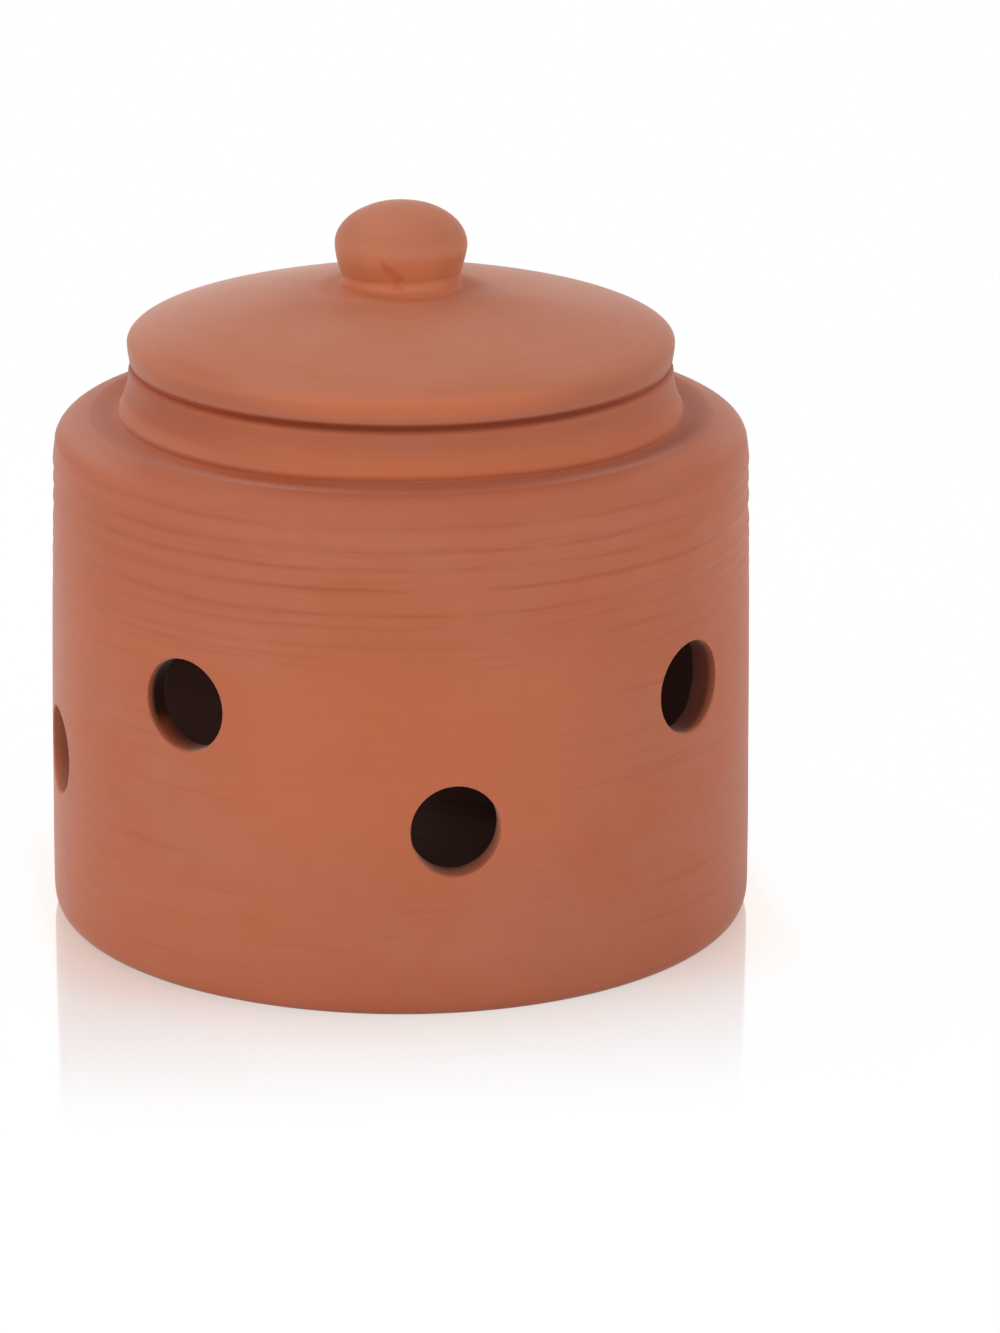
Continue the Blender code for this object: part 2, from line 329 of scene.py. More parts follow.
def outer_wall():
    # Down the outside, from the groove under the bead to the edge of the foot
    shoulder_width = wall_radius(SHOULDER_START) - BEAD_RADIUS
    shoulder = arc((BEAD_RADIUS, SHOULDER_START), shoulder_width, SHOULDER_DROP, 40,
                   86.0, 0.0, SHOULDER_SQUARENESS)
    groove_end = BEAD_RADIUS + 1.1 * GROOVE_WIDTH
    side = [point for point in shoulder if point[1] > RINGED_TO and point[0] > groove_end]
    ringed = [RINGED_TO] + rows(RINGED_TO, RINGED_FROM, RING_ROW) + [RINGED_FROM]
    for height in ringed:
        radius = wall_radius(height)
        if height > SHOULDER_START:
            rise = (height - SHOULDER_START) / SHOULDER_DROP
            reach = (1.0 - rise ** SHOULDER_SQUARENESS) ** (1.0 / SHOULDER_SQUARENESS)
            radius = BEAD_RADIUS + shoulder_width * reach
        side.append((radius - STEADY_SHARE * DEEPEST_RING * ring_step(height), height))
    for height in rows(RINGED_FROM, FOOT_ROUND_UP, 1.5 * MM):
        side.append((wall_radius(height), height))
    return side


def finger_track(height):
    # The inside is left as the fingers drew it, in shallow tracks with soft ridges between
    share = (height / TRACK_PITCH) % 1.0
    return TRACK_DEPTH * (1.0 - (2.0 * share - 1.0) ** 2)


def inner_wall():
    # Up the inside, from the middle of the floor to the rim
    inner_foot = FOOT_RADIUS - WALL
    inner_shoulder = wall_radius(SHOULDER_START) - WALL
    flat = inner_foot - FLOOR_CORNER
    floor = [(0.0, FLOOR)]
    for radius in rows(0.0, flat, 1.6 * MM):
        floor.append((radius, FLOOR + 0.6 * finger_track(radius)))
    corner = arc((flat, FLOOR + FLOOR_CORNER), FLOOR_CORNER, FLOOR_CORNER, 10, -90.0, 0.0)
    top = SHOULDER_START - WALL
    bottom = FLOOR + FLOOR_CORNER
    side = []
    for height in rows(bottom, top, 1.2 * MM):
        share = (height - bottom) / (top - bottom)
        radius = inner_foot + (inner_shoulder - inner_foot) * share
        side.append((radius - 0.5 * finger_track(height), height))
    vault = arc((MOUTH_RADIUS + NECK_ROUND, top), inner_shoulder - MOUTH_RADIUS - NECK_ROUND,
                SHOULDER_DROP, 12, 0.0, 90.0, SHOULDER_SQUARENESS)
    neck = arc((MOUTH_RADIUS + NECK_ROUND, BODY_HEIGHT - WALL + NECK_ROUND),
               NECK_ROUND, NECK_ROUND, 6, 270.0, 180.0)
    rim = arc((MOUTH_RADIUS + RIM_ROUND, RIM_HEIGHT - RIM_ROUND), RIM_ROUND, RIM_ROUND, 6, 180.0, 90.0)
    return floor + corner + side + vault + neck[1:] + rim


def collar():
    # From the rim down the leaning collar, round the bead and into the shallow groove
    rim = arc((RIM_RADIUS - RIM_OUTER_ROUND, RIM_HEIGHT - RIM_OUTER_DROP), RIM_OUTER_ROUND, RIM_OUTER_DROP,
              10, 90.0, 0.0, GAP_SQUARENESS)
    bead = arc((BEAD_RADIUS - BEAD_ROUND, BODY_HEIGHT + BEAD_HEIGHT), BEAD_ROUND, BEAD_ROUND,
               14, 40.0, -36.0)
    lean = []
    top = rim[-1]
    bottom = bead[0]
    for share in rows(0.0, 1.0, 0.1):
        radius = top[0] + (bottom[0] - top[0]) * share ** COLLAR_LEAN_POWER
        lean.append((radius, top[1] + (bottom[1] - top[1]) * share))
    root = bead[-1]
    groove = sweep(root, (root[0] - 0.10 * MM, BODY_HEIGHT - GROOVE_DROP),
                   (BEAD_RADIUS + 0.40 * GROOVE_WIDTH, BODY_HEIGHT - GROOVE_DROP),
                   (BEAD_RADIUS + GROOVE_WIDTH, BODY_HEIGHT - 0.12 * MM), 18)[1:]
    return rim + lean + bead + groove


def foot():
    # Round the foot and across the shallow dish turned into the base
    contact = FOOT_RADIUS - FOOT_ROUND_IN
    dish = contact - STANDING_WIDTH
    base = arc((contact, FOOT_ROUND_UP), FOOT_ROUND_IN, -FOOT_ROUND_UP, 14, 0.0, 90.0, FOOT_SQUARENESS)
    base += [(radius, 0.0) for radius in rows(contact, dish, 3.0 * MM)] + [(dish, 0.0)]
    base += [(dish - 0.3 * DISH_EDGE, 0.15 * DISH_DEPTH), (dish - 0.7 * DISH_EDGE, 0.85 * DISH_DEPTH)]
    base.append((dish - DISH_EDGE, DISH_DEPTH))
    base += [(radius, DISH_DEPTH) for radius in rows(dish - DISH_EDGE, 0.0, 3.0 * MM)]
    return base + [(0.0, DISH_DEPTH)]


def outer_side(place):
    # 1 on the outer wall, 0 inside and underneath
    radius = sqrt(place.x ** 2 + place.y ** 2)
    return 1.0 if radius > wall_radius(place.z) - 0.5 * WALL or place.z > RINGED_TO else 0.0


def ring_weight(place):
    return outer_side(place) * ring_step(place.z) if place.z < RINGED_TO else 0.0


def ringed_weight(place):
    fade = smooth((place.z - RINGED_FROM) / (8.0 * MM)) * smooth((RINGED_TO - place.z) / (3.0 * MM))
    return outer_side(place) * fade


def wobble_weight(place):
    rise = smooth((place.z - 12.0 * MM) / (30.0 * MM))
    return outer_side(place) * rise * smooth((RIM_HEIGHT - place.z) / (20.0 * MM))


def bead_weight(place):
    # The bead hangs a little lower everywhere but in front
    turn = abs(round_the_axis(place))
    low = smooth((BODY_HEIGHT + 4.5 * MM - place.z) / (2.5 * MM))
    near = smooth((BEAD_RADIUS + 6.5 * MM - sqrt(place.x ** 2 + place.y ** 2)) / (6.0 * MM))
    return outer_side(place) * low * near * smooth((turn - 5.0) / 35.0)


def make_jar():
    jar = thrown("jar_body", inner_wall() + collar() + outer_wall() + foot(), SPIN_STEPS)
    rings = weigh(jar, "rings", ring_weight)
    ringed = weigh(jar, "ringed", ringed_weight)
    wobble = weigh(jar, "wobble", wobble_weight)
    bead = weigh(jar, "bead", bead_weight)
    push(jar, rings, -RING_DEPTH, 0.0, clouds("ring_fade", 1, 1.6), RING_CLOUDS)
    push(jar, ringed, FINGER_LINES, 0.6, clouds("finger_lines", 2, 1.2), FINGER_CLOUDS)
    push(jar, wobble, OUT_OF_ROUND, 0.8, clouds("out_of_round", 1), ROUND_CLOUDS)
    push(jar, bead, -BEAD_SIDE_DROP, direction="Z")
    cut_vents(jar)
    return jar


# The vents

def vent_tool():
    # A round tool that faces the front, flared at both ends so that the edges come out soft
    outer = wall_radius(VENT_LEVEL)
    inner = outer - WALL
    edge = VENT_RADIUS + VENT_INNER_ROUND
    stages = [(inner - VENT_TOOL_REACH, edge + 0.9 * MM), (inner - 0.25 * MM, edge + 0.4 * MM)]
    stages += arc((inner + VENT_INNER_ROUND, edge), VENT_INNER_ROUND, VENT_INNER_ROUND, 4, 205.0, 270.0)
    stages += arc((outer - VENT_ROUND, VENT_RADIUS + VENT_ROUND), VENT_ROUND, VENT_ROUND,
                  7, -90.0, -VENT_FLARE)
    last_reach, last_radius = stages[-1]
    widest = last_radius + VENT_LEAD / tan(radians(VENT_FLARE))
    stages += [(last_reach + VENT_LEAD, widest), (outer + VENT_TOOL_REACH, widest)]
    clear_selection()
    reach, radius = stages[0]
    bpy.ops.mesh.primitive_circle_add(vertices=VENT_SIDES, radius=radius, fill_type="NGON",
                                      location=(0.0, -reach, 0.0), rotation=(0.5 * pi, 0.0, 0.0))
    tool = bpy.context.object
    settle(tool)
    bpy.ops.object.mode_set(mode="EDIT")
    bpy.ops.mesh.select_all(action="SELECT")
    for near, far in zip(stages, stages[1:]):
        bpy.ops.mesh.extrude_region_move(TRANSFORM_OT_translate={"value": (0.0, near[0] - far[0], 0.0)})
        share = far[1] / near[1]
        bpy.ops.transform.resize(value=(share, 1.0, share), center_override=(0.0, -far[0], 0.0))
    bpy.ops.mesh.select_all(action="SELECT")
    bpy.ops.mesh.normals_make_consistent(inside=False)
    bpy.ops.object.mode_set(mode="OBJECT")
    for vertex in tool.data.vertices:
        # Laid on the wall's curve, so that the rounded edge is even all the way round
        vertex.co.y += 0.5 * vertex.co.x ** 2 / outer
    return tool


def cut_vents(jar):
    pattern = vent_tool()
    tools = []
    for turn, height, width, tall in VENTS:
        tool = pattern.copy()
        tool.data = pattern.data.copy()
        bpy.context.scene.collection.objects.link(tool)
        tool.scale = (width, 1.0, tall)
        tool.rotation_euler = (0.0, 0.0, radians(turn))
        lean_in = wall_radius(height * MM) - wall_radius(VENT_LEVEL)
        tool.location = (lean_in * sin(radians(turn)), -lean_in * cos(radians(turn)), height * MM)
        settle(tool)
        tools.append(tool)
    clear_selection()
    for tool in tools:
        tool.select_set(True)
    bpy.context.view_layer.objects.active = tools[0]
    bpy.ops.object.join()
    take(jar)
    vents = jar.modifiers.new("vents", "BOOLEAN")
    vents.operation = "DIFFERENCE"
    vents.solver = "EXACT"
    vents.object = tools[0]
    bpy.ops.object.modifier_apply(modifier=vents.name)
    bpy.data.objects.remove(tools[0])
    bpy.data.objects.remove(pattern)
    take(jar)
    bpy.ops.object.shade_smooth()
    even = jar.modifiers.new("even_shading", "WEIGHTED_NORMAL")
    even.mode = "FACE_AREA"
    bpy.ops.object.modifier_apply(modifier=even.name)


# The lid

def crown_height(radius, below=0.0):
    return SEAT_HEIGHT + CROWN_RISE - CROWN_SPHERE + sqrt((CROWN_SPHERE - below) ** 2 - radius ** 2)


def rim_top(radius):
    # Height of the jar's rim, which falls away to its outer side
    share = min(max((radius - RIM_RADIUS + RIM_OUTER_ROUND) / RIM_OUTER_ROUND, 0.0), 1.0)
    return RIM_HEIGHT - RIM_OUTER_DROP * (1.0 - (1.0 - share ** GAP_SQUARENESS) ** (1.0 / GAP_SQUARENESS))


def lid_outline():
    crown = [(0.0, crown_height(0.0))] + [(r, crown_height(r)) for r in rows(0.0, ROLL_START, 1.2 * MM)]
    slope = asin(ROLL_START / CROWN_SPHERE)
    roll_start = (ROLL_START, crown_height(ROLL_START))
    roll_end = (LID_RADIUS, SEAT_HEIGHT + LID_LIP)
    over = (roll_start[0] + ROLL_REACH * cos(slope), roll_start[1] - ROLL_REACH * sin(slope))
    rim = sweep(roll_start, over, (roll_end[0], roll_end[1] + ROLL_DROP), roll_end, 26)
    lower = LID_RADIUS - LID_TURN_IN
    hang = lower - LID_LOWER_ROUND
    under = arc((hang, rim_top(hang) + LIP_CLEARANCE + LID_LOWER_RISE),
                LID_LOWER_ROUND, LID_LOWER_RISE, 10, 0.0, -90.0, GAP_SQUARENESS)
    for radius in rows(hang, RIM_RADIUS - RIM_OUTER_ROUND, 0.08 * MM):
        under.append((radius, rim_top(radius) + LIP_CLEARANCE))
    down = (LID_RADIUS, roll_end[1] - 1.3 * MM)
    rim += sweep(rim[-1], down, (lower + 0.03 * MM, under[0][1] + 0.4 * MM), under[0], 8)[1:-1]
    flange_inside = FLANGE_RADIUS - FLANGE_WALL
    seat = [(radius, LIP_BOTTOM) for radius in rows(under[-1][0], FLANGE_RADIUS, 1.5 * MM)]
    root = arc((FLANGE_RADIUS + 0.5 * MM, LIP_BOTTOM - 0.5 * MM), 0.5 * MM, 0.5 * MM, 3, 90.0, 180.0)
    tip_middle = FLANGE_TIP + FLANGE_ROUND
    tip = arc((FLANGE_RADIUS - FLANGE_ROUND, tip_middle), FLANGE_ROUND, FLANGE_ROUND, 6, 0.0, -90.0)
    tip += arc((flange_inside + FLANGE_ROUND, tip_middle), FLANGE_ROUND, FLANGE_ROUND, 6, 270.0, 180.0)
    vault_edge = flange_inside - VAULT_ROUND
    fillet = arc((vault_edge, crown_height(vault_edge, LID_WALL) - VAULT_ROUND), VAULT_ROUND, VAULT_ROUND,
                 5, 0.0, 90.0)
    vault = []
    for radius in rows(fillet[-1][0], 0.0, 1.4 * MM):
        vault.append((radius, crown_height(radius, LID_WALL) - 0.5 * finger_track(radius)))
    return crown + rim + under + seat + root + tip + fillet + vault + [(0.0, crown_height(0.0, LID_WALL))]


def make_lid():
    lid = thrown("lid_cover", lid_outline(), SPIN_STEPS)

    def crown_weight(place):
        radius = sqrt(place.x ** 2 + place.y ** 2)
        if place.z < SEAT_HEIGHT + 2.0 * LID_LIP or place.z < crown_height(radius) - 1.0 * MM:
            return 0.0
        return smooth((LID_RADIUS - radius) / (8.0 * MM))

    crown = weigh(lid, "crown", crown_weight)
    push(lid, crown, CROWN_WOBBLE, 0.7, clouds("crown_wobble", 1), CROWN_CLOUDS)
    return lid


# The knob and the ring of clay at its foot

def neck_side():
    # From the bulb's crease down the neck, and on down inside the coil to the crown
    crease = (CREASE_RADIUS, CREASE_HEIGHT)
    root = (BULB_ROOT_RADIUS, BULB_ROOT_HEIGHT)
    below_crease = (crease[0] - 0.12 * MM, crease[1] - 0.9 * MM)
    above_root = (root[0] + 0.30 * MM, root[1] + 0.7 * MM)
    below_root = (root[0] - 0.30 * MM, root[1] - 0.7 * MM)
    foot_of_neck = (NECK_RADIUS, crown_height(NECK_RADIUS) + LUTE_GAP)
    side = sweep(crease, below_crease, above_root, root, 18)
    hidden = sweep(root, below_root, (NECK_RADIUS, root[1] - 1.4 * MM), foot_of_neck, 16)
    return side, hidden


def knob_outline():
    widest = KNOB_TOP - KNOB_RISE
    bulb = arc((0.0, widest), KNOB_RADIUS, KNOB_RISE, 34, 90.0, 0.0)
    crease = (CREASE_RADIUS, CREASE_HEIGHT)
    above_crease = (crease[0] + 0.05 * MM, crease[1] + 0.3 * MM)
    turn_in = sweep(bulb[-1], (KNOB_RADIUS, widest - 0.4 * MM), above_crease, crease, 6)
    side, hidden = neck_side()
    seat = [(radius, crown_height(radius) + LUTE_GAP) for radius in rows(NECK_RADIUS, 0.0, 2.0 * MM)]
    return bulb + turn_in[1:] + side[1:] + hidden[1:] + seat + [(0.0, crown_height(0.0) + LUTE_GAP)]


def near_line(place, start, end, width):
    # 1 along a line on the neck, from one turn and height to another, fading to both sides
    first = Vector((radians(start[0]) * BULB_ROOT_RADIUS, start[1] * MM))
    line = Vector((radians(end[0]) * BULB_ROOT_RADIUS, end[1] * MM)) - first
    point = Vector((radians(round_the_axis(place)) * BULB_ROOT_RADIUS, place.z)) - first
    share = min(max(point.dot(line) / line.length_squared, 0.0), 1.0)
    across = (point - share * line).length
    return exp(-(across / width) ** 2) * (0.4 + 0.6 * share)


def sag(place):
    # On the left the neck and its coil hang a little lower
    turn = round_the_axis(place)
    return smooth((turn + 150.0) / 60.0) * smooth((-5.0 - turn) / 55.0)


def fold_weight(place):
    outside = smooth((sqrt(place.x ** 2 + place.y ** 2) - NECK_RADIUS) / (0.2 * MM))
    return near_line(place, FOLD_FROM, FOLD_TO, FOLD_WIDTH) * outside


def make_knob():
    knob = thrown("knob_bulb", knob_outline(), KNOB_STEPS)

    def bulb_weight(place):
        return smooth((place.z - BULB_ROOT_HEIGHT - 0.5 * MM) / (3.0 * MM))

    def sag_weight(place):
        neck = smooth((CREASE_HEIGHT + 1.5 * MM - place.z) / (2.5 * MM))
        return sag(place) * neck * smooth((place.z - crown_height(COIL_FOOT)) / (2.5 * MM))

    bulb = weigh(knob, "bulb", bulb_weight)
    push(knob, bulb, THUMB_MARKS, 0.7, clouds("thumbed", 1), THUMB_CLOUDS)
    fold = weigh(knob, "fold", fold_weight)
    push(knob, fold, FOLD_DEPTH, direction="Y")
    hang = weigh(knob, "sag", sag_weight)
    push(knob, hang, -NECK_SAG, direction="Z")
    return knob


def coil_outline():
    # Its top is feathered on to the neck, and its inside follows the neck down
    low = crown_height(COIL_FOOT) - 0.14 * MM
    side, hidden = neck_side()
    neck = side + hidden[1:]
    against = [(radius + NECK_CLEARANCE, height) for radius, height in neck if height < COIL_TOP]
    tip = against[0]
    waist = (COIL_WAIST, COIL_TOP - 2.4 * MM)
    outer = sweep((tip[0] + 0.03 * MM, tip[1]), (COIL_RADIUS - 0.10 * MM, tip[1] - 0.6 * MM),
                  (COIL_WAIST + 0.06 * MM, waist[1] + 0.7 * MM), waist, 18)
    below_waist = (COIL_WAIST - 0.03 * MM, waist[1] - 0.5 * MM)
    flare = sweep(waist, below_waist, (COIL_FOOT - 0.30 * MM, low + 0.05 * MM), (COIL_FOOT, low), 12)
    inner_foot = (against[-1][0], crown_height(against[-1][0]) + 0.05 * MM)
    return outer + flare[1:] + [inner_foot] + against[::-1][1:] + [outer[0]]


def make_coil():
    coil = thrown("knob_coil", coil_outline(), KNOB_STEPS)
    foot = crown_height(COIL_FOOT)
    side, hidden = neck_side()
    inner_sizes = sorted((height, radius) for radius, height in side + hidden[1:])

    def outer_share(place):
        # 1 on the outside of the coil, and 0 against the neck
        near = [size for size in inner_sizes if size[0] <= place.z]
        neck_radius = near[-1][1] if near else NECK_RADIUS
        return smooth((sqrt(place.x ** 2 + place.y ** 2) - neck_radius - 0.06 * MM) / (0.10 * MM))

    def swell_weight(place):
        front = smooth((64.0 - abs(round_the_axis(place))) / 46.0)
        return outer_share(place) * front * smooth((COIL_TOP - 0.1 * MM - place.z) / (2.3 * MM))

    def seam_weight(place):
        # Where the two ends of the coil meet in front
        away = radians(round_the_axis(place) - SEAM_TURN) * COIL_RADIUS
        below_top = COIL_TOP - place.z
        upper = smooth(below_top / (0.5 * MM)) * smooth((2.2 * MM - below_top) / (0.8 * MM))
        return outer_share(place) * exp(-(away / SEAM_WIDTH) ** 2) * upper

    def sag_weight(place):
        return sag(place) * smooth((place.z - foot) / (2.5 * MM))

    swell = weigh(coil, "swell", swell_weight)
    seam = weigh(coil, "seam", seam_weight)
    push(coil, swell, -COIL_SWELL, direction="Y")
    push(coil, seam, -SEAM_DEPTH)
    fold = weigh(coil, "fold", fold_weight)
    push(coil, fold, FOLD_DEPTH, direction="Y")
    hang = weigh(coil, "sag", sag_weight)
    push(coil, hang, -NECK_SAG, direction="Z")
    return coil


# Materials: colours, of which a piece has plain, pink and deep clays, colours of painted light and shade,
# and shares

# Deep clay, for flecks and lines, and also for painted shade in the body's tones
BODY_DEEP_AND_SHADE = (0.375, 0.098, 0.045)
BODY_CLAYS = ((0.448, 0.127, 0.060), (0.452, 0.146, 0.083), BODY_DEEP_AND_SHADE)
# Painted light: a warmer, brighter clay for where light falls on the front of the wall, the ring ridges and
# the bead
BODY_PAINTED_LIGHT = (0.515, 0.142, 0.062)
# Painted shade for the shoulder round the collar's bead
SHOULDER_SHADE = (0.335, 0.058, 0.006)
# Painted sheen: a paler clay for the shoulder's sides, seen at a glancing angle
SHOULDER_PAINTED_SHEEN = (0.470, 0.205, 0.150)
# Painted shade for the collar's sides
COLLAR_SIDE_SHADE = (0.345, 0.098, 0.050)
# Painted highlight: a pale band along the bead on the left
BEAD_HIGHLIGHT = (0.470, 0.160, 0.088)
BODY_INSIDE = (0.270, 0.115, 0.080)
# Painted light: a paler clay for the inside on the left
INSIDE_PAINTED_LIGHT = (0.520, 0.290, 0.250)
# Painted shade, a deeper painted shadow, and painted light for the vents' bores
BORE_SHADE_TONE = (0.150, 0.042, 0.026)
BORE_SHADOW = (0.030, 0.006, 0.002)
BORE_LIT = (0.400, 0.088, 0.032)
# Painted shade for the dark line of the gap between the lid and the jar's rim, warmer at the sides
GAP_SHADE_TONE = (0.225, 0.040, 0.012)
GAP_SIDE_SHADE_TONE = (0.310, 0.048, 0.008)
LID_CLAYS = ((0.436, 0.140, 0.069), (0.442, 0.160, 0.092), (0.395, 0.116, 0.055))
# Painted shade for the lip's lower round, a greyer clay
LID_LOWER_SHADE = (0.430, 0.146, 0.086)
# Painted sheen: a paler clay for the back of the lid
LID_BACK_SHEEN = (0.515, 0.220, 0.148)
# Painted shade for the dome round the knob
LID_KNOB_SHADE = (0.390, 0.097, 0.028)
# Painted light on the dome at the coil's foot on the right, lifting the knob's shadow there
LID_FOOT_LIGHT = (0.490, 0.125, 0.040)
# Painted contact shadow at the coil's foot on the left
LID_FOOT_SHADE = (0.430, 0.116, 0.042)
# Painted highlight for the front of the lid's lip
LID_RIM_HIGHLIGHT = (0.530, 0.158, 0.074)
LID_SIDE = (0.425, 0.137, 0.072)
# Painted shade for the left of the lid's roll
LID_ROLL_SHADE = (0.385, 0.113, 0.056)
# Deep clay, for flecks and lines, which is also the neck's painted light
KNOB_DEEP_AND_NECK_LIGHT = (0.515, 0.155, 0.068)
KNOB_CLAYS = ((0.452, 0.145, 0.071), (0.458, 0.164, 0.093), KNOB_DEEP_AND_NECK_LIGHT)
# Painted light for the underside of the bulb
KNOB_UNDER_LIGHT = (0.565, 0.193, 0.101)
# Painted shade for the bulb's left side
KNOB_SIDE_SHADE = (0.390, 0.131, 0.071)
# Painted light for the front of the neck
NECK_FRONT_LIGHT = (0.565, 0.174, 0.077)
# Painted shade for the fold in the neck
FOLD_SHADE = (0.485, 0.136, 0.055)
# Deep clay, for flecks and lines, and for painted shade on the coil
COIL_DEEP_AND_SHADE = (0.530, 0.155, 0.068)
COIL_CLAYS = ((0.580, 0.184, 0.090), (0.590, 0.202, 0.108), COIL_DEEP_AND_SHADE)
COIL_ROOT = (0.540, 0.155, 0.062)
SHEEN_TINT = (1.0, 0.93, 0.90)
CLAY_IOR = 1.25
CLAY_SHEEN = 0.28
LID_SHEEN = 0.32
SHEEN_ROUGHNESS = 0.35
SMOOTHEST = 0.58
ROUGHEST = 0.70
LINE_SHARE = 0.28
BODY_LINE_SHARE = 0.42
PATCH_SHARE = 0.7
FLECK_SHARE = 0.126
PINHOLE_SHARE = 0.3
PINHOLE_SPREAD = 0.16
LINE_WIDTH = 1.0 * MM
LINE_BREAKS = 2.0
BAND_WIDTH = 5.0
PATCH_SIZE = 25.0 * MM
GRAIN_SIZE = 0.6 * MM

# Heights that the bump gives to the grain, lines, bands and pinholes, as shares of its depth
BUMP_DEPTH = 0.11 * MM
GRAIN_BUMP = 0.16
LINE_BUMP = 0.55
BAND_BUMP = 0.9
PINHOLE_BUMP = -0.25

# How a ring's dark line wavers and breaks off, as noise scales per metre in x, y and z
WAVER = 2.0 * MM
WAVER_SCALES = (28.0, 28.0, 90.0)
BREAK_SCALES = (40.0, 40.0, 240.0)

# Measures that slide along another: name, measure, what slides it, where from and to, and two shifts
BODY_SLIDES = (
    ("bead_level", "above_body", "y", -57, -44, 0, BEAD_SIDE_DROP / MM),
    ("set_back", "y", "x", -20, 20, -34, 0),
    ("from_bead", "past_bead", "y", -59, -43, 0, 3.5),
    ("from_bead_right", "from_bead", "x", 20, 45, 0, -2),
    ("from_root", "past_bead", "x", -28, -10, 1.2, 0),
)
KNOB_SLIDES = (
    ("above_neck", "above_crease", "x", -5, -2.8, FOLD_STEP / MM, 0),
)

# Limits of a tone: a mask, or a measure, where its share starts and ends in millimetres, and the two shares
LEFT_SIDE = ("x", -52, -32, 0.95, 0)
BELOW_BEAD = ("bead_level", 0.3, 0.9, 1, 0)
ON_SHOULDER = (("above_body", -7.4, -1), BELOW_BEAD)
BESIDE_BEAD = (("above_body", -3, -1), BELOW_BEAD)
IN_FRONT = ("set_back", -36, -6, 1, 0.1)
FRONT_VENT = (("x", -14, -12), ("x", 12, 14, 1, 0))
LEFT_VENT = (("x", -64, -60), ("x", -30, -28, 1, 0))
NEAR_EDGE = ("depth", 1.5, 5, 1, 0.3)
PAST_FLANGE = ("past_flange", 1, 2)
LEFT_TO_RIGHT = ("x", -9, 3)
AT_COIL_TOP = (("below_top", 0.1, 1.8, 1, 0),)
AT_SEAM = (("from_seam", 0.4, 2, 1, 0), ("y", -8, -2, 1, 0), ("below_top", 1.4, 2.4, 1, 0))

# Tones: a colour or a mix, its strength, and its limits. A mix is a first colour with tones over it.
GAP_SHADE_MIX = [GAP_SHADE_TONE, (GAP_SIDE_SHADE_TONE, 1, ("y", -50, -30))]
INSIDE_MIX = [BODY_INSIDE, (INSIDE_PAINTED_LIGHT, 1, ("x", -30, -5, 1, 0))]
# Painted shade in the vents' bores, a near-black painted shadow in the left vents, and painted light in the
# vents on the front-to-back line and low in the left vents, strongest near the outer edge
BORE_SHADE_MIX = [
    BORE_SHADE_TONE,
    (BORE_SHADOW, 1, *LEFT_VENT),
    (BORE_LIT, 1, *FRONT_VENT, NEAR_EDGE),
    (BORE_LIT, 0.8, *LEFT_VENT, NEAR_EDGE, ("z", 52, 55.5, 1, 0)),
]
# The lip's colour, with a painted highlight in front
LIP_MIX = [LID_SIDE, (LID_RIM_HIGHLIGHT, 1, ("y", -52, -36, 1, 0), ("x", 8, 38, 1, 0))]
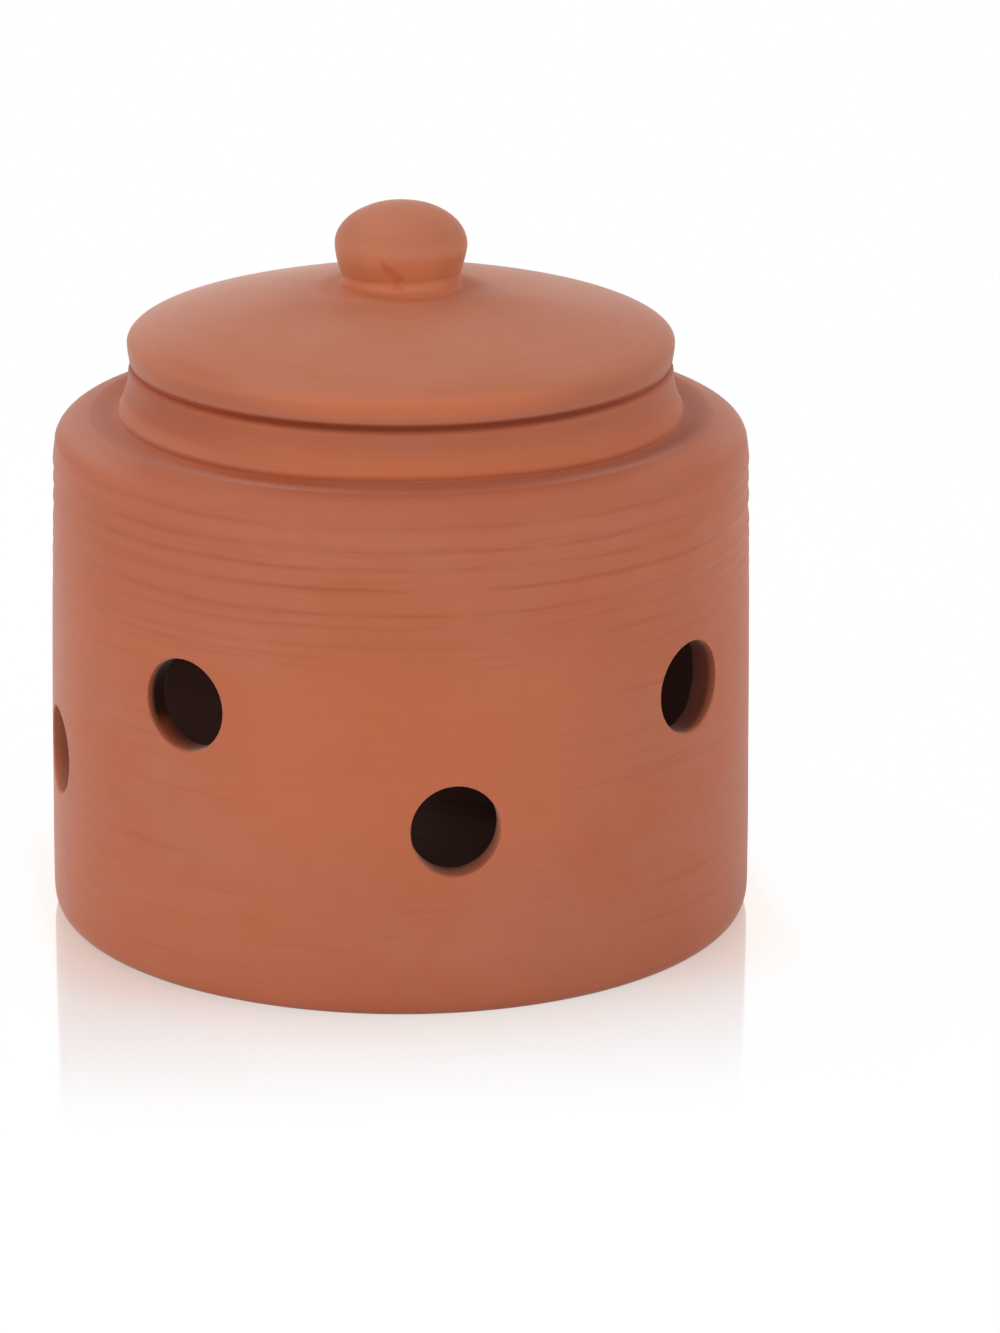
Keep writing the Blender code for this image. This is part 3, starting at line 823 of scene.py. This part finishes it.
# Painted light on the neck under the bulb, brightest in front
NECK_LIGHT_MIX = [KNOB_DEEP_AND_NECK_LIGHT, (NECK_FRONT_LIGHT, 1, ("x", -6, -2), ("x", 4, 9.5, 1, 0))]
BODY_TONES = (
    # Painted light: a pool of light on the front of the wall
    (BODY_PAINTED_LIGHT, 1, ("z", 24, 42), ("z", 62, 80, 1, 0), ("x", -54, -30), ("x", 12, 46, 0.5, 0)),
    # Painted shade on the upper left of the wall
    (BODY_DEEP_AND_SHADE, 0.45, ("x", -56, -22, 1, 0), ("z", 68, 84)),
    # Painted shade towards the foot
    (BODY_DEEP_AND_SHADE, 0.3, ("z", 3, 15, 1, 0)),
    # Painted highlight on the ridges and painted shade in the steps of the throwing rings
    (BODY_PAINTED_LIGHT, 0.2, "ridges"),
    (BODY_DEEP_AND_SHADE, 0.55, "ring_lines"),
    # Painted highlight on the bead and the foot of the collar, strongest in front
    (BODY_PAINTED_LIGHT, 0.95, ("bead_level", 0.2, 1), ("bead_level", 3, 7.6, 1, 0), ("x", -46, -8),
     ("x", 20, 55, 1, 0.6)),
    # Painted shade on the collar's sides, deeper on the left
    (COLLAR_SIDE_SHADE, 1, ("above_body", 2.8, 4.8), LEFT_SIDE),
    (COLLAR_SIDE_SHADE, 0.3, ("above_body", 2.8, 4.8), ("x", 30, 50)),
    # Painted pale highlight along the bead on the left
    (BEAD_HIGHLIGHT, 0.55, ("bead_level", -0.3, 0.4), ("bead_level", 2.8, 4.6, 1, 0), LEFT_SIDE),
    # Painted shade on the collar under the lid
    (BODY_DEEP_AND_SHADE, 0.2, ("above_body", 3.2, 8.2)),
    # Painted shade on the rim's outer round, under the lid
    (GAP_SHADE_MIX, 1, ("above_rim", -1.8, -0.55)),
    # Painted shade on the shoulder's top
    (BODY_DEEP_AND_SHADE, 0.4, *ON_SHOULDER),
    (SHOULDER_SHADE, 0.14, *ON_SHOULDER, ("y", -64, -48, 1, 0)),
    # Painted shade in the groove under the bead and on the shoulder beside it
    (BODY_DEEP_AND_SHADE, 0.75, *BESIDE_BEAD, IN_FRONT, ("from_bead", 5, 12.5, 1, 0)),
    (SHOULDER_SHADE, 1, *BESIDE_BEAD, IN_FRONT, ("from_bead_right", 3.5, 9.5, 1, 0), ("from_root", 0.3, 2.2),
     ("x", -50, -36, 0.15, 0.9)),
    (SHOULDER_SHADE, 0.22, *BESIDE_BEAD, LEFT_SIDE, ("y", -10, 8, 1, 0)),
    # Painted sheen on the shoulder's sides
    (SHOULDER_PAINTED_SHEEN, 0.55, ("off_axis", 52, 66), ("above_body", -4, -1), BELOW_BEAD),
    # Painted shade and light in the vents' bores
    (BORE_SHADE_MIX, 1, ("depth", 0.3, 2), ("z", 24, 27), ("z", 69, 72, 1, 0), ("x", -66, -60, 0.3, 1)),
    # The inside's clay, with painted light on its left half
    (INSIDE_MIX, 1, ("inside", 0, 0.12), ("z", 3, 4)),
)
LID_TONES = (
    # Painted sheen over the back of the lid
    (LID_BACK_SHEEN, 0.85, ("y", -24, 34)),
    # The lip, with a painted highlight in front
    (LIP_MIX, 0.95, ("past_lip", -2.1, 0.4)),
    # Painted shade on the left of the lid's roll
    (LID_ROLL_SHADE, 0.8, ("x", -52, -45, 0.1, 1), ("x", -44, -33, 1, 0), ("radius", 49.8, 52.2),
     ("radius", 53.6, 54.4, 1, 0)),
    # Painted shade on the dome round the knob, strongest in front
    (LID_KNOB_SHADE, 0.95, ("past_coil", 0, 24, 1, 0), ("y", -14, -3, 1, 0.15)),
    # At the coil's foot on the dome: painted contact shadow on the left, painted light on the right
    ([LID_FOOT_SHADE, (LID_FOOT_LIGHT, 1, LEFT_TO_RIGHT)], 0.9, ("past_coil", 2.6, 5.6, 1, 0)),
    # Painted shade on the lip's lower round
    (LID_LOWER_SHADE, 0.9, ("above_lip", 1, 2.4, 1, 0), PAST_FLANGE),
    # Painted shade along the bottom of the lid's lip, over the gap
    (GAP_SHADE_MIX, 1, ("above_lip", 0, 1, 1, 0), PAST_FLANGE),
    (BODY_INSIDE, 0.8, ("under_dome", 3, 5), ("radius", 48, 50, 1, 0)),
)
KNOB_TONES = (
    # Painted light on the underside of the bulb, above the crease
    (KNOB_UNDER_LIGHT, 0.9, ("above_crease", 1, 4.5, 1, 0)),
    # Painted shade on the bulb's left side
    (KNOB_SIDE_SHADE, 0.85, ("x", -12, -5.5, 1, 0), ("above_crease", 1, 7, 0.35, 1)),
    # Painted light on the neck
    (NECK_LIGHT_MIX, 0.9, ("above_neck", -0.6, 0.6, 1, 0)),
    # Painted shade in the fold
    (FOLD_SHADE, 0.85, ("off_fold", 0.3, 2.3, 1, 0), ("past_fold_start", -0.8, 1),
     ("past_fold_end", 0, 1.2, 1, 0), ("y", -8, -4, 1, 0)),
)
COIL_TONES = (
    # Darker at the coil's top, running on from the neck, with painted shade in the seam
    (COIL_DEEP_AND_SHADE, 0.9, "top_and_seam"),
    # Painted shade on the coil's right side
    (COIL_DEEP_AND_SHADE, 0.8, ("x", 6, 11)),
    # Darker at the coil's root: painted contact shadow on the left, a darker root tone on the right
    ([LID_FOOT_SHADE, (COIL_ROOT, 1, LEFT_TO_RIGHT)], 0.95, ("below_top", 2, 3.2)),
)


def feed(tree, node, inputs):
    # Links a socket or sets a value on each input; a colour is given without its fourth value
    for name, value in inputs.items():
        if isinstance(value, bpy.types.NodeSocket):
            tree.links.new(value, node.inputs[name])
        elif isinstance(value, tuple):
            node.inputs[name].default_value = (*value, 1.0)
        else:
            node.inputs[name].default_value = value
    return node


def added(tree, kind, **inputs):
    # A new node, with its inputs named by their labels and underscores for the spaces
    named = {label.replace("_", " "): value for label, value in inputs.items()}
    return feed(tree, tree.nodes.new("ShaderNode" + kind), named)


def work(tree, operation, *values):
    # One math step on sockets or numbers, and one more for each value past the second
    node = feed(tree, tree.nodes.new("ShaderNodeMath"), dict(enumerate(values[:2])))
    node.operation = operation
    result = node.outputs["Value"]
    return work(tree, operation, result, *values[2:]) if values[2:] else result


def blend(tree, share, first, second):
    # From the first colour to the second by a share
    node = tree.nodes.new("ShaderNodeMix")
    node.data_type = "RGBA"
    return feed(tree, node, {0: share, 6: first, 7: second}).outputs[2]


def between(tree, value, low, high, start=0.0, end=1.0):
    # Eases from the start value to the end value as the input goes from low to high
    node = added(tree, "MapRange", Value=value, From_Min=low, From_Max=high, To_Min=start, To_Max=end)
    node.interpolation_type = "SMOOTHSTEP"
    return node.outputs["Result"]


def noise(tree, vector, scale, detail, roughness=0.5):
    node = added(tree, "TexNoise", Vector=vector, Scale=scale, Detail=detail, Roughness=roughness)
    return node.outputs["Fac"]


def apart(tree, vector):
    node = added(tree, "SeparateXYZ", Vector=vector)
    return node.outputs["X"], node.outputs["Y"], node.outputs["Z"]


def together(tree, x, y, z):
    return added(tree, "CombineXYZ", X=x, Y=y, Z=z).outputs["Vector"]


def radius_of(tree, x, y):
    return work(tree, "SQRT", work(tree, "ADD", work(tree, "MULTIPLY", x, x), work(tree, "MULTIPLY", y, y)))


def measures_at(tree, place):
    x, y, z = apart(tree, place)
    return {"x": x, "y": y, "z": z, "radius": radius_of(tree, x, y)}


def slide(tree, measures, slides):
    # Adds the measures that slide along another one
    for name, base, driver, low, high, start, end in slides:
        shift = between(tree, measures[driver], low * MM, high * MM, start * MM, end * MM)
        measures[name] = work(tree, "ADD", measures[base], shift)


def share_of(tree, measures, strength, limits):
    # How far a tone shows within all its limits
    share = strength
    for limit in limits:
        if isinstance(limit, str):
            mask = measures[limit]
        else:
            name, low, high, *ends = limit
            mask = between(tree, measures[name], low * MM, high * MM, *ends)
        share = work(tree, "MULTIPLY", share, mask)
    return share


def painted(tree, measures, colour, tones):
    # Lays the tones over a colour one after the other
    for tone, strength, *limits in tones:
        if isinstance(tone, list):
            tone = painted(tree, measures, tone[0], tone[1:])
        colour = blend(tree, share_of(tree, measures, strength, limits), colour, tone)
    return colour


def new_group(name, inputs, outputs):
    # A node group that takes a place and sizes, and puts out masks
    group = bpy.data.node_groups.new(name, "ShaderNodeTree")
    group.interface.new_socket(name="Place", in_out="INPUT", socket_type="NodeSocketVector")
    for way, labels in (("INPUT", inputs), ("OUTPUT", outputs)):
        for label in labels:
            group.interface.new_socket(name=label, in_out=way, socket_type="NodeSocketFloat")
    return group, group.nodes.new("NodeGroupInput"), group.nodes.new("NodeGroupOutput")


def divided(tree, vector, size):
    # A vector in units of a size
    sizes = together(tree, size, size, size)
    node = feed(tree, tree.nodes.new("ShaderNodeVectorMath"), {0: vector, 1: sizes})
    node.operation = "DIVIDE"
    return node.outputs["Vector"]


def make_turning_lines():
    # Fine lines left by the fingers and the turning rib, round the wheel's axis on walls and flats alike
    group, given, out = new_group("turning_lines", ("Line Width", "Breaks"), ("Lines", "Bands"))
    x, y, z = apart(group, given.outputs["Place"])
    radius = work(group, "MAXIMUM", radius_of(group, x, y), 0.5 * MM)
    down = work(group, "SUBTRACT", z, radius)
    breaks = given.outputs["Breaks"]
    width = given.outputs["Line Width"]
    round_x = work(group, "MULTIPLY", work(group, "DIVIDE", x, radius), breaks)
    round_y = work(group, "MULTIPLY", work(group, "DIVIDE", y, radius), breaks)
    fine = together(group, round_x, round_y, work(group, "DIVIDE", down, width))
    wide_down = work(group, "DIVIDE", down, work(group, "MULTIPLY", width, BAND_WIDTH))
    wide = together(group, round_x, round_y, wide_down)
    feed(group, out, {"Lines": noise(group, fine, 1.0, 3.0, 0.6), "Bands": noise(group, wide, 1.0, 2.0)})
    return group


def make_mottling():
    # Soft patches that firing leaves, and smaller ones inside them
    group, given, out = new_group("mottling", ("Patch Size",), ("Patches", "Flecks"))
    scaled = divided(group, given.outputs["Place"], given.outputs["Patch Size"])
    patches = between(group, noise(group, scaled, 1.0, 2.0), 0.34, 0.66)
    flecks = between(group, noise(group, scaled, 4.5, 3.0, 0.6), 0.40, 0.70)
    feed(group, out, {"Patches": patches, "Flecks": flecks})
    return group


def make_grit():
    # The sandy grain of bare clay, with pinholes far apart
    group, given, out = new_group("grit", ("Grain Size",), ("Grain", "Pinholes"))
    scaled = divided(group, given.outputs["Place"], given.outputs["Grain Size"])
    cells = added(group, "TexVoronoi", Vector=scaled, Scale=PINHOLE_SPREAD)
    pinholes = between(group, cells.outputs["Distance"], 0.05, 0.10, 1.0, 0.0)
    feed(group, out, {"Grain": noise(group, scaled, 1.0, 2.0, 0.65), "Pinholes": pinholes})
    return group


def placed(tree, group, inputs):
    node = tree.nodes.new("ShaderNodeGroup")
    node.node_tree = group
    return feed(tree, node, inputs).outputs


def fired_clay(name, groups, clays, measure, tones, sheen=CLAY_SHEEN, lines=LINE_SHARE):
    # Bare fired clay: turning lines, firing patches and grain over its own clays, and then its piece's
    # tones, most of them painted light and shade
    clay, pink, deep = clays
    material = bpy.data.materials.new(name)
    material.use_nodes = True
    tree = material.node_tree
    shader = tree.nodes["Principled BSDF"]
    place = tree.nodes.new("ShaderNodeTexCoord").outputs["Object"]
    turned = placed(tree, groups[0], {"Place": place, "Line Width": LINE_WIDTH, "Breaks": LINE_BREAKS})
    fired = placed(tree, groups[1], {"Place": place, "Patch Size": PATCH_SIZE})
    sandy = placed(tree, groups[2], {"Place": place, "Grain Size": GRAIN_SIZE})
    colour = blend(tree, work(tree, "MULTIPLY", fired["Patches"], PATCH_SHARE), clay, pink)
    colour = blend(tree, work(tree, "MULTIPLY", fired["Flecks"], FLECK_SHARE), colour, deep)
    colour = blend(tree, between(tree, turned["Lines"], 0.52, 0.74, 0.0, lines), colour, deep)
    colour = blend(tree, between(tree, turned["Bands"], 0.50, 0.72, 0.0, 0.8 * lines), colour, pink)
    colour = blend(tree, work(tree, "MULTIPLY", sandy["Pinholes"], PINHOLE_SHARE), colour, deep)
    measures = measures_at(tree, place)
    measure(tree, measures)
    raised = ((sandy["Grain"], GRAIN_BUMP), (turned["Lines"], LINE_BUMP), (turned["Bands"], BAND_BUMP),
              (sandy["Pinholes"], PINHOLE_BUMP))
    height = work(tree, "ADD", *(work(tree, "MULTIPLY", mask, share) for mask, share in raised))
    bump = added(tree, "Bump", Strength=1.0, Distance=BUMP_DEPTH, Height=height)
    feed(tree, shader, {
        "Base Color": painted(tree, measures, colour, tones),
        "Roughness": between(tree, sandy["Grain"], 0.3, 0.7, SMOOTHEST, ROUGHEST),
        "Normal": bump.outputs["Normal"],
        "IOR": CLAY_IOR,
        "Sheen Weight": sheen,
        "Sheen Roughness": SHEEN_ROUGHNESS,
        "Sheen Tint": SHEEN_TINT,
    })
    return material


def ring_noise(tree, measures, scales):
    stretched = [work(tree, "MULTIPLY", measures[axis], scale) for axis, scale in zip("xyz", scales)]
    return noise(tree, together(tree, *stretched), 1.0, 3.0, 0.6)


def ring_marks(tree, measures):
    # A line of painted shade in every throwing ring's step, wavering and broken, and a painted highlight
    # band on the ridge under it
    stray = work(tree, "SUBTRACT", ring_noise(tree, measures, WAVER_SCALES), 0.5)
    level = work(tree, "ADD", measures["z"], work(tree, "MULTIPLY", stray, WAVER))
    lines = []
    ridges = []
    for height, step_in, run in THROWING_RINGS:
        share = step_in * MM / DEEPEST_RING
        from_line = work(tree, "ABSOLUTE", work(tree, "SUBTRACT", level, height * MM))
        lines.append(between(tree, from_line, 0.05 * MM, 0.80 * MM, share, 0.0))
        from_ridge = work(tree, "ABSOLUTE", work(tree, "SUBTRACT", level, (height - 0.5 * run) * MM))
        ridges.append(between(tree, from_ridge, 0.2 * MM, 0.55 * run * MM, share, 0.0))
    strength = between(tree, ring_noise(tree, measures, BREAK_SCALES), 0.42, 0.58, 0.05, 1.25)
    measures["ring_lines"] = work(tree, "MULTIPLY", work(tree, "MAXIMUM", *lines), strength)
    measures["ridges"] = work(tree, "MAXIMUM", *ridges)


def measure_body(tree, measures):
    # Adds the rings, the levels of the bead and rim, and how deep a place lies in the wall
    x, z, radius = measures["x"], measures["z"], measures["radius"]
    ring_marks(tree, measures)
    rise = between(tree, z, FOOT_ROUND_UP, SHOULDER_START)
    wall = work(tree, "SUBTRACT", FOOT_RADIUS, work(tree, "MULTIPLY", rise, WALL_TAPER))
    vault = between(tree, z, SHOULDER_START, BODY_HEIGHT - 4.0 * MM, 66.0 * MM, 51.5 * MM)
    inner = work(tree, "MINIMUM", vault, work(tree, "SUBTRACT", wall, WALL - 0.22 * MM))
    measures["above_body"] = work(tree, "SUBTRACT", z, BODY_HEIGHT)
    measures["above_rim"] = work(tree, "SUBTRACT", z, RIM_HEIGHT)
    measures["past_bead"] = work(tree, "SUBTRACT", radius, BEAD_RADIUS)
    measures["off_axis"] = work(tree, "ABSOLUTE", x)
    measures["depth"] = work(tree, "SUBTRACT", wall, radius)
    measures["inside"] = work(tree, "SUBTRACT", inner, radius)
    slide(tree, measures, BODY_SLIDES)


def measure_lid(tree, measures):
    # Adds how far a place lies under the dome, above the lip, and past the lip, flange and coil
    z, radius = measures["z"], measures["radius"]
    drop = work(tree, "SUBTRACT", CROWN_SPHERE ** 2, work(tree, "MULTIPLY", radius, radius))
    top = work(tree, "ADD", work(tree, "SQRT", drop), SEAT_HEIGHT + CROWN_RISE - CROWN_SPHERE)
    measures["under_dome"] = work(tree, "SUBTRACT", top, z)
    measures["above_lip"] = work(tree, "SUBTRACT", z, LIP_BOTTOM)
    measures["past_lip"] = work(tree, "SUBTRACT", radius, LID_RADIUS)
    measures["past_flange"] = work(tree, "SUBTRACT", radius, FLANGE_RADIUS)
    measures["past_coil"] = work(tree, "SUBTRACT", radius, COIL_FOOT)


def measure_knob(tree, measures):
    # Adds the height above the crease, which lies lower on the left of the fold, and the way along the fold
    x, z = measures["x"], measures["z"]
    start_x = CREASE_RADIUS * sin(radians(FOLD_FROM[0]))
    end_x = BULB_ROOT_RADIUS * sin(radians(FOLD_TO[0]))
    slope = (FOLD_TO[1] - FOLD_FROM[1]) * MM / (end_x - start_x)
    past_start = work(tree, "SUBTRACT", x, start_x)
    level = work(tree, "ADD", work(tree, "MULTIPLY", past_start, slope), FOLD_FROM[1] * MM)
    measures["past_fold_start"] = past_start
    measures["past_fold_end"] = work(tree, "SUBTRACT", x, end_x)
    measures["off_fold"] = work(tree, "ABSOLUTE", work(tree, "SUBTRACT", z, level))
    measures["above_crease"] = work(tree, "SUBTRACT", z, CREASE_HEIGHT)
    slide(tree, measures, KNOB_SLIDES)


def measure_coil(tree, measures):
    # Adds a mask for the feathered top, darkened to run on from the neck, and for painted shade in the seam
    # where the two ends meet
    measures["below_top"] = work(tree, "SUBTRACT", COIL_TOP, measures["z"])
    off_seam = work(tree, "SUBTRACT", measures["x"], COIL_RADIUS * sin(radians(SEAM_TURN)))
    measures["from_seam"] = work(tree, "ABSOLUTE", off_seam)
    at_top = share_of(tree, measures, 1, AT_COIL_TOP)
    at_seam = share_of(tree, measures, 1, AT_SEAM)
    measures["top_and_seam"] = work(tree, "MAXIMUM", at_top, at_seam)


# Camera, light and floor

CAMERA_DISTANCE = 1.050
CAMERA_RISE = radians(16.643)
CAMERA_TURN = radians(8.43)
AIM_HEIGHT = 0.070
PIXELS_PER_MM = 4.979
PHOTO_WIDTH = 1000.0
PHOTO_HEIGHT = 1333.0
AXIS_PIXEL = 400.9
AIM_PIXEL = 564.6
SENSOR = 36.0
AMBIENT = 0.30
LAMP_SIZE = 0.60
LAMP_DISTANCE = 1.20
SHADOW_SHARE = 0.06
NEAR_GLOW = 0.95
MIRROR_SHARE = 0.44
MIRROR_ROUGHNESS = 0.07
# Painted warm bounce light from the jar on the floor near its foot
FOOT_BOUNCE_GLOW = (1.0, 0.865, 0.790)
PAPER = 0.85
FLOOR_SIZE = 6.0
WHITE = (1.0, 1.0, 1.0)

# Where the floor's looks come in or fade, in metres: forwards of the axis, to its sides, or all round it
MIRROR_FORWARDS = (-0.128, -0.015)
MIRROR_ROUND = (0.100, 0.160)
GLOW_FORWARDS = (-0.072, -0.040)
GLOW_BESIDE = (0.070, 0.078)
GLOW_ROUND = (0.070, 0.092)
WHITE_ROUND = (0.20, 0.60)

# Soft boxes: turn from the camera's side and rise in degrees, and watts
SOFT_BOXES = (
    ("left_box", -45.0, 12.0, 4.3),
    ("front_box", 0.0, 28.0, 2.6),
    ("right_box", 80.0, 12.0, 3.2),
    ("right_high_box", 45.0, 40.0, 1.1),
    ("top_box", -110.0, 70.0, 4.6),
    ("left_rim_box", -120.0, 40.0, 1.8),
    ("right_rim_box", 120.0, 40.0, 1.4),
)


def make_camera():
    data = bpy.data.cameras.new("camera")
    camera = bpy.data.objects.new("camera", data)
    bpy.context.scene.collection.objects.link(camera)
    level = CAMERA_DISTANCE * cos(CAMERA_RISE)
    camera.location = (-level * sin(CAMERA_TURN), -level * cos(CAMERA_TURN),
                       AIM_HEIGHT + CAMERA_DISTANCE * sin(CAMERA_RISE))
    camera.rotation_euler = (0.5 * pi - CAMERA_RISE, 0.0, -CAMERA_TURN)
    data.sensor_fit = "VERTICAL"
    data.sensor_height = SENSOR
    data.sensor_width = SENSOR
    data.lens = PIXELS_PER_MM * (CAMERA_DISTANCE / MM) / PHOTO_HEIGHT * SENSOR
    data.shift_x = (0.5 * PHOTO_WIDTH - AXIS_PIXEL) / PHOTO_HEIGHT
    data.shift_y = (AIM_PIXEL - 0.5 * PHOTO_HEIGHT) / PHOTO_HEIGHT
    data.clip_start = 0.05
    data.clip_end = 20.0
    bpy.context.scene.camera = camera


def mixed(tree, share, first, second):
    # From the first shader to the second by a share
    node = tree.nodes.new("ShaderNodeMixShader")
    return feed(tree, node, {0: share, 1: first.outputs[0], 2: second.outputs[0]})


def make_world():
    # Plain white wherever it is seen, and dimmer where it only lights the jar
    world = bpy.data.worlds.new("studio")
    world.use_nodes = True
    bpy.context.scene.world = world
    tree = world.node_tree
    tree.nodes.clear()
    path = added(tree, "LightPath")
    ways = [path.outputs[way] for way in ("Is Camera Ray", "Is Glossy Ray", "Is Transmission Ray")]
    light = added(tree, "Background", Color=WHITE, Strength=AMBIENT)
    seen = added(tree, "Background", Color=WHITE, Strength=1.0)
    whole = mixed(tree, work(tree, "MAXIMUM", *ways), light, seen)
    added(tree, "OutputWorld", Surface=whole.outputs["Shader"])


def make_lamp(name, turn, rise, power):
    # A round soft box that faces the jar, turned from the camera's side and raised, in degrees
    data = bpy.data.lights.new(name, "AREA")
    data.shape = "DISK"
    data.size = LAMP_SIZE
    data.energy = power
    lamp = bpy.data.objects.new(name, data)
    bpy.context.scene.collection.objects.link(lamp)
    round_about = radians(turn) - CAMERA_TURN
    level = LAMP_DISTANCE * cos(radians(rise))
    middle = Vector((0.0, 0.0, AIM_HEIGHT))
    lamp.location = middle + Vector((level * sin(round_about), -level * cos(round_about),
                                     LAMP_DISTANCE * sin(radians(rise))))
    lamp.rotation_euler = (middle - lamp.location).to_track_quat("-Z", "Y").to_euler()


def make_floor():
    # White glossy paper: a mirror close to the foot, with a faint shadow and a painted warm bounce of light,
    # and plain white further out
    clear_selection()
    bpy.ops.mesh.primitive_plane_add(size=FLOOR_SIZE, location=(0.0, 0.0, 0.0))
    floor = bpy.context.object
    floor.name = "floor"
    material = bpy.data.materials.new("floor_white")
    material.use_nodes = True
    tree = material.node_tree
    tree.nodes.clear()
    x, y, z = apart(tree, added(tree, "TexCoord").outputs["Object"])
    reach = radius_of(tree, x, y)
    # Where the painted warm bounce light from the jar lies on the floor
    bounce_share = work(tree, "MULTIPLY", between(tree, reach, *GLOW_ROUND, 1.0, 0.0),
                  between(tree, y, *GLOW_FORWARDS, 0.35, 1.0),
                  between(tree, work(tree, "ABSOLUTE", x), *GLOW_BESIDE, 1.0, 0.0))
    shade = added(tree, "BsdfDiffuse", Color=(SHADOW_SHARE, SHADOW_SHARE, SHADOW_SHARE))
    glow = added(tree, "Emission", Color=blend(tree, bounce_share, WHITE, FOOT_BOUNCE_GLOW), Strength=NEAR_GLOW)
    near = tree.nodes.new("ShaderNodeAddShader")
    feed(tree, near, {0: shade.outputs["BSDF"], 1: glow.outputs["Emission"]})
    gloss = added(tree, "BsdfAnisotropic", Color=WHITE, Roughness=MIRROR_ROUGHNESS)
    mirror = work(tree, "MULTIPLY", between(tree, y, *MIRROR_FORWARDS, 0.0, MIRROR_SHARE),
                  between(tree, reach, *MIRROR_ROUND, 1.0, 0.0))
    polished = mixed(tree, mirror, near, gloss)
    white = added(tree, "Emission", Color=WHITE, Strength=1.0)
    seen = mixed(tree, between(tree, reach, *WHITE_ROUND), polished, white)
    path = added(tree, "LightPath")
    either = work(tree, "MAXIMUM", path.outputs["Is Camera Ray"], path.outputs["Is Glossy Ray"])
    whole = mixed(tree, either, added(tree, "BsdfDiffuse", Color=(PAPER, PAPER, PAPER)), seen)
    added(tree, "OutputMaterial", Surface=whole.outputs["Shader"])
    floor.data.materials.append(material)


def dress(piece, node, body, material):
    piece.data.materials.clear()
    piece.data.materials.append(material)
    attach(piece, body)
    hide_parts(node)


def main():
    make_camera()
    make_world()
    for name, turn, rise, power in SOFT_BOXES:
        make_lamp(name, turn, rise, power)
    make_floor()
    groups = (make_turning_lines(), make_mottling(), make_grit())
    body = fired_clay("fired_body", groups, BODY_CLAYS, measure_body, BODY_TONES, lines=BODY_LINE_SHARE)
    cover = fired_clay("fired_lid", groups, LID_CLAYS, measure_lid, LID_TONES, LID_SHEEN)
    bulb = fired_clay("fired_knob", groups, KNOB_CLAYS, measure_knob, KNOB_TONES)
    coil = fired_clay("fired_coil", groups, COIL_CLAYS, measure_coil, COIL_TONES)
    dress(make_jar(), "jar", "jar", body)
    dress(make_lid(), "lid", "lid", cover)
    dress(make_knob(), "lid_knob", "lid", bulb)
    dress(make_coil(), "knob_foot_ring", "lid", coil)
    bpy.context.scene.view_settings.view_transform = "Standard"


main()
clear_selection()
